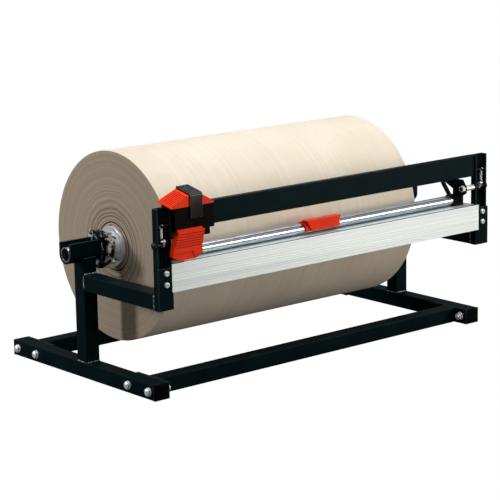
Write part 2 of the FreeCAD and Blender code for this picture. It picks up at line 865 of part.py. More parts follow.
def clamp_grip():
    """The red lift handle: a band round the tube with an upright finger fin."""
    half = grip_long / 2
    low = grip_fin_low / 2
    y = -clamp_tube_front
    z = clamp_tube_z
    r = clamp_tube_r + running_gap
    band = rod_x(r + grip_band, grip_centre - half, grip_centre + half, y, z)
    fin_y = y - r - grip_band - grip_fin_thick
    top = z + r + grip_band + grip_rise
    fin = slab_y([(grip_centre - half, top), (grip_centre + half, top),
                  (grip_centre + low, z - grip_drop), (grip_centre - low, z - grip_drop)], fin_y, y)
    keep = box(grip_centre - half - 1, grip_centre + half + 1, fin_y - 1, y + r + grip_band + 1,
               z - grip_drop, top + 1)
    shape = band.fuse(fin).common(keep)
    return shape.cut(rod_x(r, grip_centre - half - 1, grip_centre + half + 1, y, z)).removeSplitter()


def head_right():
    return head_left + head_long


def roof_z(y):
    """Height of the roof's eaves plane at depth y."""
    return roof_front_z + roof_tilt * (y + head_front) / (head_front - head_rear)


def ridge_left():
    return head_left - roof_overhang + roof_left_run


def ridge_right():
    return head_right() - roof_right_run


def head_body():
    """The black carriage that straddles the rail."""
    left = head_left
    right = head_right()
    eaves = post_top + rail_glide_gap
    inner_front = rail_front + rail_glide_gap
    inner_back = rail_back - rail_glide_gap
    outer = slab_x([(-head_front, head_low), (-head_rear, head_low), (-head_rear, roof_z(-head_rear)),
                    (-head_front, roof_z(-head_front))], left, right)
    outer = outer.fuse(spine())
    room = box(left - 1, right + 1, -inner_front, -inner_back, head_low - 1, eaves)
    rear_trim = box(left - 1, right + 1, -inner_back - head_split_gap, -head_rear + 1,
                    head_low - 1, head_rear_low)
    body = outer.cut(room).cut(rear_trim)
    tab = box(right - 2 * head_tab_long, right - head_tab_long, -head_front, -head_front + head_tab_deep,
              head_tab_low, head_low + 1)
    body = body.fuse(tab).removeSplitter()
    body = body.cut(button_well())
    seat = box(blade_seat_left(), blade_seat_right(), -housing_front - 1, -blade_front + blade_thick,
               head_low - 1, head_low + seat_high)
    return body.cut(seat)


def spine():
    """The raised middle of the carriage, inside the cap, over the rail's top edge."""
    low = post_top
    high = post_top + rail_glide_gap + spine_high
    return box(head_left + spine_inset, head_right() - spine_inset, -rail_front - spine_beyond_rail,
               -rail_back + spine_beyond_rail, low, high)


def button_x():
    return (ridge_left() + ridge_right()) / 2


def button_well():
    y = -head_front + well_from_front
    return rod(button_stem_r + button_gap, V(button_x(), y, roof_front_z - well_deep),
               V(button_x(), y, roof_front_z + 3 * roof_rise))


def blade_seat_left():
    return head_left + seat_from_left


def blade_seat_right():
    return head_left + seat_right


def roof_section(y):
    """The roof's closed outline at depth y, from the left eave over the ridge to the right."""
    z = roof_z(y)
    left = head_left - roof_overhang
    right = head_right()
    ring = [(left, z), (left, z + eave_thick), (ridge_left(), z + roof_rise),
            (ridge_right(), z + roof_rise), (right, z + eave_thick), (right, z)]
    points = [V(x, y, h) for x, h in ring]
    return Part.makePolygon(points + [points[0]])


def head_cap():
    """The red ribbed roof, cut away in the middle for the thumb button."""
    roof = Part.makeLoft([roof_section(-head_front), roof_section(-head_rear)], True, True)
    middle = box(ridge_left() - button_gap, ridge_right() + button_gap, -head_front - 1, -head_rear + 1,
                 cap_floor(), roof_front_z + 3 * roof_rise)
    roof = roof.cut(middle).cut(spine()).cut(button_well())
    for groove in roof_grooves():
        roof = roof.cut(groove)
    return roof.removeSplitter()


def cap_floor():
    """The height of the cap's flat floor under the button, just over the carriage's spine."""
    return post_top + rail_glide_gap + spine_high + cap_over_spine


def roof_grooves():
    grooves = []
    left = head_left - roof_overhang
    right = head_right()
    sides = ((left, ridge_left(), 1), (right, ridge_right(), -1))
    for eave_x, ridge_x, way in sides:
        run = abs(ridge_x - eave_x)
        count = int(run / roof_rib_pitch)
        for k in range(1, count):
            x = eave_x + way * k * roof_rib_pitch
            lift = eave_thick + (roof_rise - eave_thick) * abs(x - eave_x) / run
            ring = []
            for y in (-head_front - 1, -head_rear + 1):
                ring.append(V(x - roof_rib_wide / 2, y, roof_z(y) + lift - roof_rib_deep))
            clear = V(0, 0, roof_rise)
            ring += [ring[1] + clear, ring[0] + clear]
            grooves.append(slab(ring, V(roof_rib_wide, 0, 0)))
    return grooves


def thumb_button():
    """The black ribbed saddle in the roof. Its front skirt hangs over the head's face."""
    left = ridge_left() + button_gap
    right = ridge_right() - button_gap
    front = -head_front - button_front
    face = -head_front - button_gap
    rear = -head_rear
    top = roof_rise + button_lift
    ring = [(front, roof_z(front) + top), (rear, roof_z(rear) + top), (rear, button_underside()),
            (face, button_underside()), (face, roof_front_z - button_skirt),
            (front, roof_front_z - button_skirt)]
    saddle = slab_x(ring, left, right)
    nose = [e for e in saddle.Edges if abs(e.tangentAt(0).x) > 0.9 and e.CenterOfMass.y < face
            and e.CenterOfMass.z > roof_z(front) + top - 1]
    saddle = saddle.makeFillet(button_nose_r, nose)
    pitch = (right - left) / button_rib_count
    for k in range(1, button_rib_count):
        x = left + k * pitch
        wide = pitch * button_rib_share
        cut = [V(x - wide / 2, y, roof_z(y) + top - button_rib_deep) for y in (front - 1, rear + 1)]
        clear = V(0, 0, roof_rise)
        cut += [cut[1] + clear, cut[0] + clear]
        saddle = saddle.cut(slab(cut, V(wide, 0, 0)))
    y = -head_front + well_from_front
    stem = rod(button_stem_r, V(button_x(), y, cap_floor() - button_stem_long),
               V(button_x(), y, button_underside() + 2))
    return saddle.fuse(stem).removeSplitter()


def button_underside():
    return cap_floor() + button_travel + button_stop_gap


def button_spring():
    """The hidden return spring round the stem, kept as a plain sleeve."""
    y = -head_front + well_from_front
    low = V(button_x(), y, cap_floor())
    high = V(button_x(), y, button_underside())
    outer = rod(button_spring_r, low, high)
    return outer.cut(rod(button_spring_r - button_spring_wall, low, high))


def glide_pads():
    """Plastic pads that fill the gap between the carriage and the rail."""
    pads = []
    left = head_left + pad_inset
    right = head_right() - pad_inset
    front = -rail_front - rail_glide_gap
    back = -rail_back + rail_glide_gap
    top = post_top + rail_glide_gap
    for x0, x1 in ((left, left + pad_long), (right - pad_long, right)):
        for z0 in (rail_bottom + pad_from_edge, post_top - pad_from_edge - pad_high + pad_inset):
            pads.append(box(x0, x1, front, front + pad_thick, z0, z0 + pad_high))
            pads.append(box(x0, x1, back, back - pad_thick, z0, z0 + pad_high))
        pads.append(box(x0, x1, -rail_front + pad_inset, -rail_back - pad_inset, top - pad_thick, top))
    return pads


def housing_outline():
    """The guard's front outline: square under the carriage, waisted, with a foot to the left."""
    left = head_left
    return [(left + 7, head_low), (left + 64, head_low), (left + 57, head_low - 32),
            (left + 59, profile_top + 13), (left + 42, profile_top + 5), (left + 7, profile_top + 5),
            (left - 7, profile_top + 13), (left - 6, profile_top + 20)]


def blade_housing():
    """The red finger guard that holds the blade over the slot."""
    body = slab_y(housing_outline(), -housing_front, -housing_back)
    front = -housing_front
    screw = blade_screw_place()
    far_right = head_right()
    far_left = head_left - roof_overhang
    step = box(far_left, far_right, front - 1, front + housing_step_deep, profile_top,
               profile_top + housing_step_high)
    boss = rod(boss_r, screw + V(0, front, 0), screw + V(0, front + boss_deep, 0))
    body = body.cut(step).fuse(boss)
    for k in range(housing_ribs):
        z = profile_top + housing_rib_low + k * housing_rib_pitch
        body = body.cut(box(far_left, far_right, front - 1, front + housing_rib_deep,
                            z, z + housing_rib_wide))
    holder = box(blade_seat_left() + seat_gap, blade_seat_right() - seat_high, -housing_back, -blade_front,
                 profile_top + blade_shoulder - 1, head_low)
    upper = box(blade_seat_left() + seat_gap, blade_seat_right() - seat_gap, front + 1, -blade_front,
                head_low - 1, head_low + seat_high)
    body = body.fuse([holder, upper]).removeSplitter()
    return body.cut(rod(screw_r, screw + V(0, front + housing_face, 0), screw + V(0, -blade_front + 1, 0)))


def blade_screw_place():
    return V(head_left + boss_from_left, 0, profile_top + boss_above_profile)


def cutting_blade():
    """The replaceable knife, a flat trapezoid whose tip dips into the slot."""
    left = head_left + blade_left
    right = head_left + blade_right
    tip = slot_floor + liner_wall + blade_off_floor
    outline = [(left, profile_top + blade_upper), (right, profile_top + blade_upper),
               (right, profile_top + blade_shoulder), (head_left + blade_tip, tip),
               (left, profile_top + blade_shoulder)]
    blade = slab_y(outline, -blade_front, -blade_front + blade_thick)
    screw = blade_screw_place()
    return blade.cut(rod(screw_r, screw + V(0, -blade_front - 1, 0), screw + V(0, -blade_front + 2, 0)))


def blade_screw():
    seat = blade_screw_place() + V(0, -blade_front + blade_thick, 0)
    head = rod(screw_head_r, seat, seat + V(0, screw_head_high, 0))
    return head.fuse(rod(screw_r, seat, seat + V(0, -screw_long, 0))).removeSplitter()


def write_frame():
    save_pair("foot_tube", foot_tube())
    save_group("foot_end_caps", foot_caps())
    save_pair("upright", upright())
    save_pair("shaft_cradle", cradle())
    save_pair("arm", arm())
    save_pair("post_channel", post())
    save("cross_beam_front", cross_beam(front_beam_y))
    save("cross_beam_rear", cross_beam(rear_beam_y))
    save_group("beam_flanges", both_sides([beam_flange(front_beam_y), beam_flange(rear_beam_y)]))
    save_group("beam_bolts", both_sides(beam_bolts()))
    save_group("beam_washers", both_sides(beam_washers()))
    save_group("beam_nuts", both_sides(beam_nuts()))
    save("upper_rail", upper_rail())
    save("cutting_profile", cutting_profile())
    save("slot_liner", slot_liner())
    save_pair("profile_bracket", profile_bracket())
    save_group("bracket_bolts", both_sides(bracket_bolts()))
    save_group("bracket_nuts", both_sides(bracket_nuts()))
    save_group("spring_anchor_pins", both_sides([anchor_pin()]))


def write_roll():
    save("roll_shaft", roll_shaft())
    save("roll_chuck_left", chuck(roll_left, -1))
    save("roll_chuck_right", chuck(roll_right, 1))
    save_group("chuck_screws", chuck_screws())
    save("shaft_stop_collar", stop_collar())
    save("collar_screw", collar_screw())
    save("cardboard_core", cardboard_core())
    save("paper_roll", paper_roll())


def write_clamp():
    save("clamp_tube", clamp_tube())
    save_pair("clamp_end_block", clamp_block())
    save_pair("lever_plate", lever_plate())
    save_group("lever_struts", both_sides([lever_strut()]))
    save_group("lever_spacers", both_sides([lever_spacer()]))
    save_pair("pivot_bolt", pivot_bolt())
    save_group("pivot_washers", both_sides([pivot_washer()]))
    save_group("pivot_sleeves", both_sides([pivot_sleeve()]))
    save_group("pivot_nuts", both_sides([pivot_nut()]))
    save_group("spring_cranks", both_sides([spring_crank()]))
    save_pair("clamp_spring", clamp_spring())
    save("clamp_grip", clamp_grip())


def write_head():
    save("head_body", head_body())
    save("head_cap", head_cap())
    save("thumb_button", thumb_button())
    save("button_spring", button_spring())
    save_group("glide_pads", glide_pads())
    save("blade_housing", blade_housing())
    save("cutting_blade", cutting_blade())
    save("blade_screw", blade_screw())


os.makedirs("parts", exist_ok=True)
write_frame()
write_roll()
write_clamp()
write_head()
print("overall width", 2 * cradle_out_x, "depth", head_front + button_front + foot_rear + cap_thick)
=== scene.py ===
"""Looks for the counter gift wrap cutter: finishes, the wound paper roll, weld beads, soft edges,
studio light and the camera. Metres, +X along the roll to the right, +Y to the back, +Z up."""

import json
import math

import bmesh
import bpy
from mathutils import Matrix, Vector, noise

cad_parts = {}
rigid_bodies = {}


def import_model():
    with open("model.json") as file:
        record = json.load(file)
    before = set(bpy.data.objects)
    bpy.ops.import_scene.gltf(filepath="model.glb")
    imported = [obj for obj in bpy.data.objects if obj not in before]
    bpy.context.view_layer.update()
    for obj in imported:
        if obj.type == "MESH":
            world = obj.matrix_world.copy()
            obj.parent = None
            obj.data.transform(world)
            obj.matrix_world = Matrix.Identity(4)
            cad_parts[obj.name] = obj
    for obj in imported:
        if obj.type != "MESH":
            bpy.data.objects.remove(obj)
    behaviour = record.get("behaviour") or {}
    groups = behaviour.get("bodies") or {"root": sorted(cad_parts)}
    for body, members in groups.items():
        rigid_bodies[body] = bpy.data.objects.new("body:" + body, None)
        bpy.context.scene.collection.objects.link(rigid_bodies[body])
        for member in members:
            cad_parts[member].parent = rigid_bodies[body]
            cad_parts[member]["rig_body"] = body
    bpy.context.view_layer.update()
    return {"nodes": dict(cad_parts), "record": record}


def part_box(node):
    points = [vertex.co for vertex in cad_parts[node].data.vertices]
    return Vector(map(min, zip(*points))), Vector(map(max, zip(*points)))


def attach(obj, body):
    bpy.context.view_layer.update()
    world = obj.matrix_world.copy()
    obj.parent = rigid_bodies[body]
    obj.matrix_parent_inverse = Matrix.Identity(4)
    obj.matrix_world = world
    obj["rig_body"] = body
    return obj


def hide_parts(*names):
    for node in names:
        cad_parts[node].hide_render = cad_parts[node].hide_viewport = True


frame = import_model()
nodes = frame["nodes"]
body_of_node = {n: o["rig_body"] for n, o in nodes.items()}
mm = 0.001

# Places that the pieces share, read from the frame
roll_low, roll_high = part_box("paper_roll")
core_low, core_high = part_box("cardboard_core")
axis_y = (roll_low.y + roll_high.y) / 2
axis_z = (roll_low.z + roll_high.z) / 2
paper_r = (roll_high.z - roll_low.z) / 2
core_r = (core_high.z - core_low.z) / 2


def linear(hex_colour):
    """An sRGB hex colour as the linear RGBA that the shaders take."""
    parts = [int(hex_colour[i:i + 2], 16) / 255 for i in (1, 3, 5)]
    curve = [c / 12.92 if c <= 0.04045 else ((c + 0.055) / 1.055) ** 2.4 for c in parts]
    return (*curve, 1.0)


def add(tree, kind, settings=None, links=None):
    """Adds one shader node. Settings are attributes or input values, links are input to output."""
    node = tree.nodes.new("ShaderNode" + kind)
    for name, value in (settings or {}).items():
        if isinstance(name, str) and name[0].islower():
            setattr(node, name, value)
        else:
            node.inputs[name].default_value = value
    for name, output in (links or {}).items():
        tree.links.new(output, node.inputs[name])
    return node


def new_material(name):
    """A bare material with its Principled shader and Object coordinates."""
    material = bpy.data.materials.new(name)
    material.use_nodes = True
    tree = material.node_tree
    shader = tree.nodes["Principled BSDF"]
    place = add(tree, "TexCoord").outputs["Object"]
    return material, tree, shader, place


def set_shader(shader, **values):
    """Sets the shader's own sockets, with an underscore for each space of a socket's name."""
    for name, value in values.items():
        shader.inputs[name.replace("_", " ")].default_value = value


def ramp(tree, factor, stops):
    """A colour ramp through (position, hex colour) stops."""
    node = add(tree, "ValToRGB", links={"Fac": factor})
    band = node.color_ramp
    while len(band.elements) < len(stops):
        band.elements.new(0.5)
    for element, (position, colour) in zip(band.elements, stops):
        element.position = position
        element.color = linear(colour)
    return node.outputs["Color"]


def spread(tree, value, low, high):
    """Maps a 0 to 1 value to low to high."""
    node = add(tree, "MapRange", {"To Min": low, "To Max": high}, {"Value": value})
    return node.outputs["Result"]


def blend_colour(tree, kind, factor, first, second):
    """Mixes two colours. Each is a hex colour or another node's output."""
    node = add(tree, "Mix", {"data_type": "RGBA", "blend_type": kind})
    for socket, value in ((0, factor), (6, first), (7, second)):
        if isinstance(value, str):
            node.inputs[socket].default_value = linear(value)
        elif isinstance(value, (int, float)):
            node.inputs[socket].default_value = value
        else:
            tree.links.new(value, node.inputs[socket])
    return node.outputs[2]


def stretched(tree, place, scale):
    """The place with each axis scaled, for grain that runs along one axis."""
    return add(tree, "Mapping", {"Scale": scale}, {"Vector": place}).outputs["Vector"]


def edge_wear_and_highlight_mask(tree, width, sharp):
    """White along convex and concave edges, from how far a rounded normal turns from the flat one."""
    soft = add(tree, "Bevel", {"samples": 4, "Radius": width}).outputs["Normal"]
    flat = add(tree, "NewGeometry").outputs["Normal"]
    match = add(tree, "VectorMath", {"operation": "DOT_PRODUCT"}, {0: soft, 1: flat}).outputs["Value"]
    turned = add(tree, "MapRange", {"From Min": 1.0, "From Max": sharp}, {"Value": match})
    return turned.outputs["Result"], soft


def frame_paint():
    """Satin black stoving enamel on welded steel tube. It is blue black, a little orange-peeled,
    dusty in patches, and paler along the tube's corners, partly from wear and partly a painted edge
    highlight."""
    peel_mm = 1.6
    edge_band_mm = 0.8
    chip_mm = 2.5
    patch_mm = 60.0
    material, tree, shader, place = new_material("satin_black_enamel")
    edge, rounded = edge_wear_and_highlight_mask(tree, edge_band_mm * mm, 0.84)
    patch = add(tree, "TexNoise", {"Scale": 1 / (patch_mm * mm), "Detail": 5.0}, {"Vector": place})
    chips = add(tree, "TexNoise", {"Scale": 1 / (chip_mm * mm), "Detail": 4.0}, {"Vector": place})
    peel = add(tree, "TexNoise", {"Scale": 1 / (peel_mm * mm), "Detail": 2.0}, {"Vector": place})
    coat = ramp(tree, patch.outputs["Fac"], ((0.3, "#041013"), (0.7, "#07191D")))
    # Pale corners: chipped wear, and also a painted edge highlight.
    worn_and_highlit = add(tree, "Math", {"operation": "MULTIPLY"}, {0: edge, 1: chips.outputs["Fac"]})
    colour = blend_colour(tree, "MIX", worn_and_highlit.outputs["Value"], coat, "#8FA0A5")
    tree.links.new(colour, shader.inputs["Base Color"])
    tree.links.new(spread(tree, patch.outputs["Fac"], 0.3, 0.44), shader.inputs["Roughness"])
    bump = add(tree, "Bump", {"Strength": 0.12, "Distance": 0.15 * mm},
               {"Height": peel.outputs["Fac"], "Normal": rounded})
    tree.links.new(bump.outputs["Normal"], shader.inputs["Normal"])
    set_shader(shader, IOR=1.5, Specular_IOR_Level=0.05, Specular_Tint=linear("#8FCFDD"))
    return material


def weld_metal():
    """Painted weld bead: the same enamel, rougher, with pale specks on its crests that are painted
    glints.
    """
    grain_mm = 1.8
    material, tree, shader, place = new_material("enamelled_weld_bead")
    grain = add(tree, "TexNoise", {"Scale": 1 / (grain_mm * mm), "Detail": 3.0}, {"Vector": place})
    # The palest stop paints glints on the bead crests.
    coat = ramp(tree, grain.outputs["Fac"], ((0.44, "#05090B"), (0.54, "#46545A"), (0.62, "#DCE3E6")))
    tree.links.new(coat, shader.inputs["Base Color"])
    tree.links.new(spread(tree, grain.outputs["Fac"], 0.25, 0.5), shader.inputs["Roughness"])
    bump = add(tree, "Bump", {"Strength": 0.5, "Distance": 0.4 * mm}, {"Height": grain.outputs["Fac"]})
    tree.links.new(bump.outputs["Normal"], shader.inputs["Normal"])
    set_shader(shader, Specular_IOR_Level=0.4)
    return material


def black_oxide():
    """Chemically blackened steel on the hinge bolts and pins: dull, oily, with brown-grey rubs."""
    edge_band_mm = 0.6
    cloud_mm = 5.0
    material, tree, shader, place = new_material("blackened_steel")
    edge, rounded = edge_wear_and_highlight_mask(tree, edge_band_mm * mm, 0.8)
    cloud = add(tree, "TexNoise", {"Scale": 1 / (cloud_mm * mm), "Detail": 4.0}, {"Vector": place})
    tone = ramp(tree, cloud.outputs["Fac"], ((0.3, "#0B0C0D"), (0.7, "#17181A")))
    tree.links.new(blend_colour(tree, "MIX", edge, tone, "#4A4947"), shader.inputs["Base Color"])
    tree.links.new(spread(tree, cloud.outputs["Fac"], 0.3, 0.5), shader.inputs["Roughness"])
    tree.links.new(rounded, shader.inputs["Normal"])
    set_shader(shader, Metallic=0.6)
    return material


def zinc_plate():
    """Bright zinc plating on bolts, nuts and washers: cool silver with a faint turning grain."""
    grain_mm = 0.5
    cloud_mm = 5.0
    edge_mm = 0.4
    material, tree, shader, place = new_material("bright_zinc_plate")
    cloud = add(tree, "TexNoise", {"Scale": 1 / (cloud_mm * mm), "Detail": 4.0}, {"Vector": place})
    grain = add(tree, "TexNoise", {"Scale": 1 / (grain_mm * mm), "Detail": 2.0}, {"Vector": place})
    tone = ramp(tree, cloud.outputs["Fac"], ((0.3, "#DDE1E4"), (0.7, "#F8FAFB")))
    tree.links.new(tone, shader.inputs["Base Color"])
    tree.links.new(spread(tree, cloud.outputs["Fac"], 0.2, 0.38), shader.inputs["Roughness"])
    rounded = add(tree, "Bevel", {"samples": 4, "Radius": edge_mm * mm}).outputs["Normal"]
    bump = add(tree, "Bump", {"Strength": 0.1, "Distance": 0.05 * mm},
               {"Height": grain.outputs["Fac"], "Normal": rounded})
    tree.links.new(bump.outputs["Normal"], shader.inputs["Normal"])
    set_shader(shader, Metallic=0.5)
    return material


def anodised_aluminium():
    """Satin silver anodised extrusion. Fine die lines run along its whole length."""
    line_mm = 0.8
    band_mm = 14.0
    edge_mm = 0.3
    material, tree, shader, place = new_material("silver_anodised_extrusion")
    lines = add(tree, "TexNoise", {"Scale": 1.0, "Detail": 3.0},
                {"Vector": stretched(tree, place, (2.0, 1 / (line_mm * mm), 1 / (line_mm * mm)))})
    broad = add(tree, "TexNoise", {"Scale": 1.0, "Detail": 2.0},
                {"Vector": stretched(tree, place, (1.2, 1 / (band_mm * mm), 1 / (band_mm * mm)))})
    tone = ramp(tree, broad.outputs["Fac"], ((0.3, "#DCE8EC"), (0.7, "#EBF6F9")))
    fine = ramp(tree, lines.outputs["Fac"], ((0.35, "#DDE1E3"), (0.6, "#FFFFFF")))
    tree.links.new(blend_colour(tree, "MULTIPLY", 0.7, tone, fine), shader.inputs["Base Color"])
    tree.links.new(spread(tree, lines.outputs["Fac"], 0.34, 0.5), shader.inputs["Roughness"])
    rounded = add(tree, "Bevel", {"samples": 4, "Radius": edge_mm * mm}).outputs["Normal"]
    bump = add(tree, "Bump", {"Strength": 0.25, "Distance": 0.06 * mm},
               {"Height": lines.outputs["Fac"], "Normal": rounded})
    tree.links.new(bump.outputs["Normal"], shader.inputs["Normal"])
    set_shader(shader, Metallic=0.75)
    return material


def chrome_plate():
    """Hard chrome on the clamp tube: mirror bright, with faint hand smears and draw lines."""
    smear_long = 1 / (30 * mm)
    smear_round = 1 / (6 * mm)
    draw_round = 1 / (0.9 * mm)
    material, tree, shader, place = new_material("chromed_steel_tube")
    smear = add(tree, "TexNoise", {"Scale": 1.0, "Detail": 5.0, "Roughness": 0.6},
                {"Vector": stretched(tree, place, (smear_long, smear_round, smear_round))})
    draw = add(tree, "TexNoise", {"Scale": 1.0, "Detail": 2.0},
               {"Vector": stretched(tree, place, (6.0, draw_round, draw_round))})
    tone = ramp(tree, smear.outputs["Fac"], ((0.3, "#A9B0B9"), (0.72, "#D3D9E0")))
    tree.links.new(tone, shader.inputs["Base Color"])
    tree.links.new(spread(tree, smear.outputs["Fac"], 0.1, 0.3), shader.inputs["Roughness"])
    bump = add(tree, "Bump", {"Strength": 0.12, "Distance": 0.04 * mm}, {"Height": draw.outputs["Fac"]})
    tree.links.new(bump.outputs["Normal"], shader.inputs["Normal"])
    set_shader(shader, Metallic=1.0)
    return material


def polished_chuck():
    """Turned and polished steel chuck. The flange against the paper is bright. The drum's dark mottle,
    the nearly black outer disc and its bright specks are a painted reflection of the dark frame and
    painted highlights, darker towards the disc."""
    ripple_mm = 9.0
    turning_mm = 0.6
    flange_mm = 6.0
    disc_mm = 30.0
    edge_mm = 0.5
    half = (roll_high.x - roll_low.x) / 2
    mid_x = (roll_low.x + roll_high.x) / 2
    material, tree, shader, place = new_material("polished_turned_steel")
    ripple = add(tree, "TexNoise", {"Scale": 1 / (ripple_mm * mm), "Detail": 3.0}, {"Vector": place})
    turning = add(tree, "TexNoise", {"Scale": 1.0, "Detail": 1.0},
                  {"Vector": stretched(tree, place, (1 / (turning_mm * mm), 4.0, 4.0))})
    centred = add(tree, "Mapping", {"Location": (-mid_x, 0, 0)}, {"Vector": place})
    along = add(tree, "SeparateXYZ", links={"Vector": centred.outputs["Vector"]}).outputs["X"]
    off = add(tree, "Math", {"operation": "ABSOLUTE"}, {0: along}).outputs["Value"]
    # Painted reflection: the drum's colour darkens from the flange out to the outer disc.
    painted_reflection_fade = add(tree, "MapRange", {"From Min": half + flange_mm * mm, "From Max": half + disc_mm * mm,
                                   "To Min": 0.09, "To Max": -0.05}, {"Value": off})
    level = add(tree, "Math", {"operation": "ADD"},
                {0: ripple.outputs["Fac"], 1: painted_reflection_fade.outputs["Result"]})
    # Painted reflection: near black mottle for the dark frame, with painted bright specks.
    drum = ramp(tree, level.outputs["Value"],
                ((0.42, "#050608"), (0.5, "#8E9298"), (0.56, "#F4F6F8")))
    inside = add(tree, "Math", {"operation": "LESS_THAN", 1: half + flange_mm * mm}, {0: off})
    tree.links.new(blend_colour(tree, "MIX", inside.outputs["Value"], drum, "#E6E9EC"),
                   shader.inputs["Base Color"])
    tree.links.new(spread(tree, turning.outputs["Fac"], 0.06, 0.2), shader.inputs["Roughness"])
    rounded = add(tree, "Bevel", {"samples": 4, "Radius": edge_mm * mm}).outputs["Normal"]
    wave = add(tree, "Bump", {"Strength": 0.55, "Distance": 1.1 * mm},
               {"Height": ripple.outputs["Fac"], "Normal": rounded})
    fine = add(tree, "Bump", {"Strength": 0.12, "Distance": 0.05 * mm},
               {"Height": turning.outputs["Fac"], "Normal": wave.outputs["Normal"]})
    tree.links.new(fine.outputs["Normal"], shader.inputs["Normal"])
    set_shader(shader, Metallic=0.6)
    return material


def bare_steel():
    """Bright drawn steel shaft: grey, oiled, with draw lines along it and a few dark handling marks."""
    line_mm = 0.8
    mark_mm = 16.0
    edge_mm = 0.4
    material, tree, shader, place = new_material("bright_drawn_steel")
    draw = add(tree, "TexNoise", {"Scale": 1.0, "Detail": 3.0},
               {"Vector": stretched(tree, place, (8.0, 1 / (line_mm * mm), 1 / (line_mm * mm)))})
    marks = add(tree, "TexNoise", {"Scale": 1 / (mark_mm * mm), "Detail": 5.0}, {"Vector": place})
    tone = ramp(tree, marks.outputs["Fac"], ((0.3, "#A3A6A8"), (0.62, "#D6D8DA")))
    tree.links.new(tone, shader.inputs["Base Color"])
    tree.links.new(spread(tree, draw.outputs["Fac"], 0.14, 0.34), shader.inputs["Roughness"])
    rounded = add(tree, "Bevel", {"samples": 4, "Radius": edge_mm * mm}).outputs["Normal"]
    bump = add(tree, "Bump", {"Strength": 0.2, "Distance": 0.05 * mm},
               {"Height": draw.outputs["Fac"], "Normal": rounded})
    tree.links.new(bump.outputs["Normal"], shader.inputs["Normal"])
    set_shader(shader, Metallic=1.0)
    return material


def spring_steel():
    """Polished spring wire and blade stock: cool, bright and nearly smooth."""
    cloud_mm = 1.2
    material, tree, shader, place = new_material("polished_spring_steel")
    fine = add(tree, "TexNoise", {"Scale": 1 / (cloud_mm * mm), "Detail": 3.0}, {"Vector": place})
    tone = ramp(tree, fine.outputs["Fac"], ((0.3, "#CDD2D7"), (0.7, "#F1F4F6")))
    tree.links.new(tone, shader.inputs["Base Color"])
    tree.links.new(spread(tree, fine.outputs["Fac"], 0.12, 0.26), shader.inputs["Roughness"])
    set_shader(shader, Metallic=1.0)
    return material


def moulded_plastic(name, dark, light, roughness, grain_mm, gloss=0.5, rub_and_highlight=None):
    """Injection moulded ABS with a spark-eroded grain, faint flow clouds, edges that catch light,
    a painted highlight along the edges when a pale colour is given, and painted shade that darkens its
    grooves."""
    cloud_mm = 22.0
    groove_mm = 2.2
    edge_mm = 0.5
    material, tree, shader, place = new_material(name)
    cloud = add(tree, "TexNoise", {"Scale": 1 / (cloud_mm * mm), "Detail": 4.0}, {"Vector": place})
    grain = add(tree, "TexNoise", {"Scale": 1 / (grain_mm * mm), "Detail": 2.0}, {"Vector": place})
    tone = ramp(tree, cloud.outputs["Fac"], ((0.3, dark), (0.7, light)))
    # Painted shade: occlusion darkens the grooves and recesses.
    open_air = add(tree, "AmbientOcclusion",
                   {"samples": 8, "only_local": True, "Distance": groove_mm * mm})
    painted_groove_shade = ramp(tree, open_air.outputs["AO"], ((0.4, "#8A5A50"), (0.85, "#FFFFFF")))
    colour = blend_colour(tree, "MULTIPLY", 1.0, tone, painted_groove_shade)
    edge, rounded = edge_wear_and_highlight_mask(tree, edge_mm * mm, 0.8)
    # Painted highlight: the pale colour, when given, lies along edges and rib crests.
    if rub_and_highlight:
        colour = blend_colour(tree, "MIX", edge, colour, rub_and_highlight)
    tree.links.new(colour, shader.inputs["Base Color"])
    tree.links.new(spread(tree, cloud.outputs["Fac"], roughness - 0.06, roughness + 0.08),
                   shader.inputs["Roughness"])
    bump = add(tree, "Bump", {"Strength": 0.2, "Distance": 0.06 * mm},
               {"Height": grain.outputs["Fac"], "Normal": rounded})
    tree.links.new(bump.outputs["Normal"], shader.inputs["Normal"])
    set_shader(shader, IOR=1.53, Specular_IOR_Level=gloss)
    return material


def roll_place(tree, place):
    """The place measured from the roll's axis, and the distance from that axis."""
    moved = add(tree, "Mapping", {"Location": (0, -axis_y, -axis_z)}, {"Vector": place})
    centred = moved.outputs["Vector"]
    flat = add(tree, "VectorMath", {"operation": "MULTIPLY", 1: (0, 1, 1)}, {0: centred})
    radius = add(tree, "VectorMath", {"operation": "LENGTH"}, {0: flat.outputs["Vector"]})
    return centred, radius.outputs["Value"]


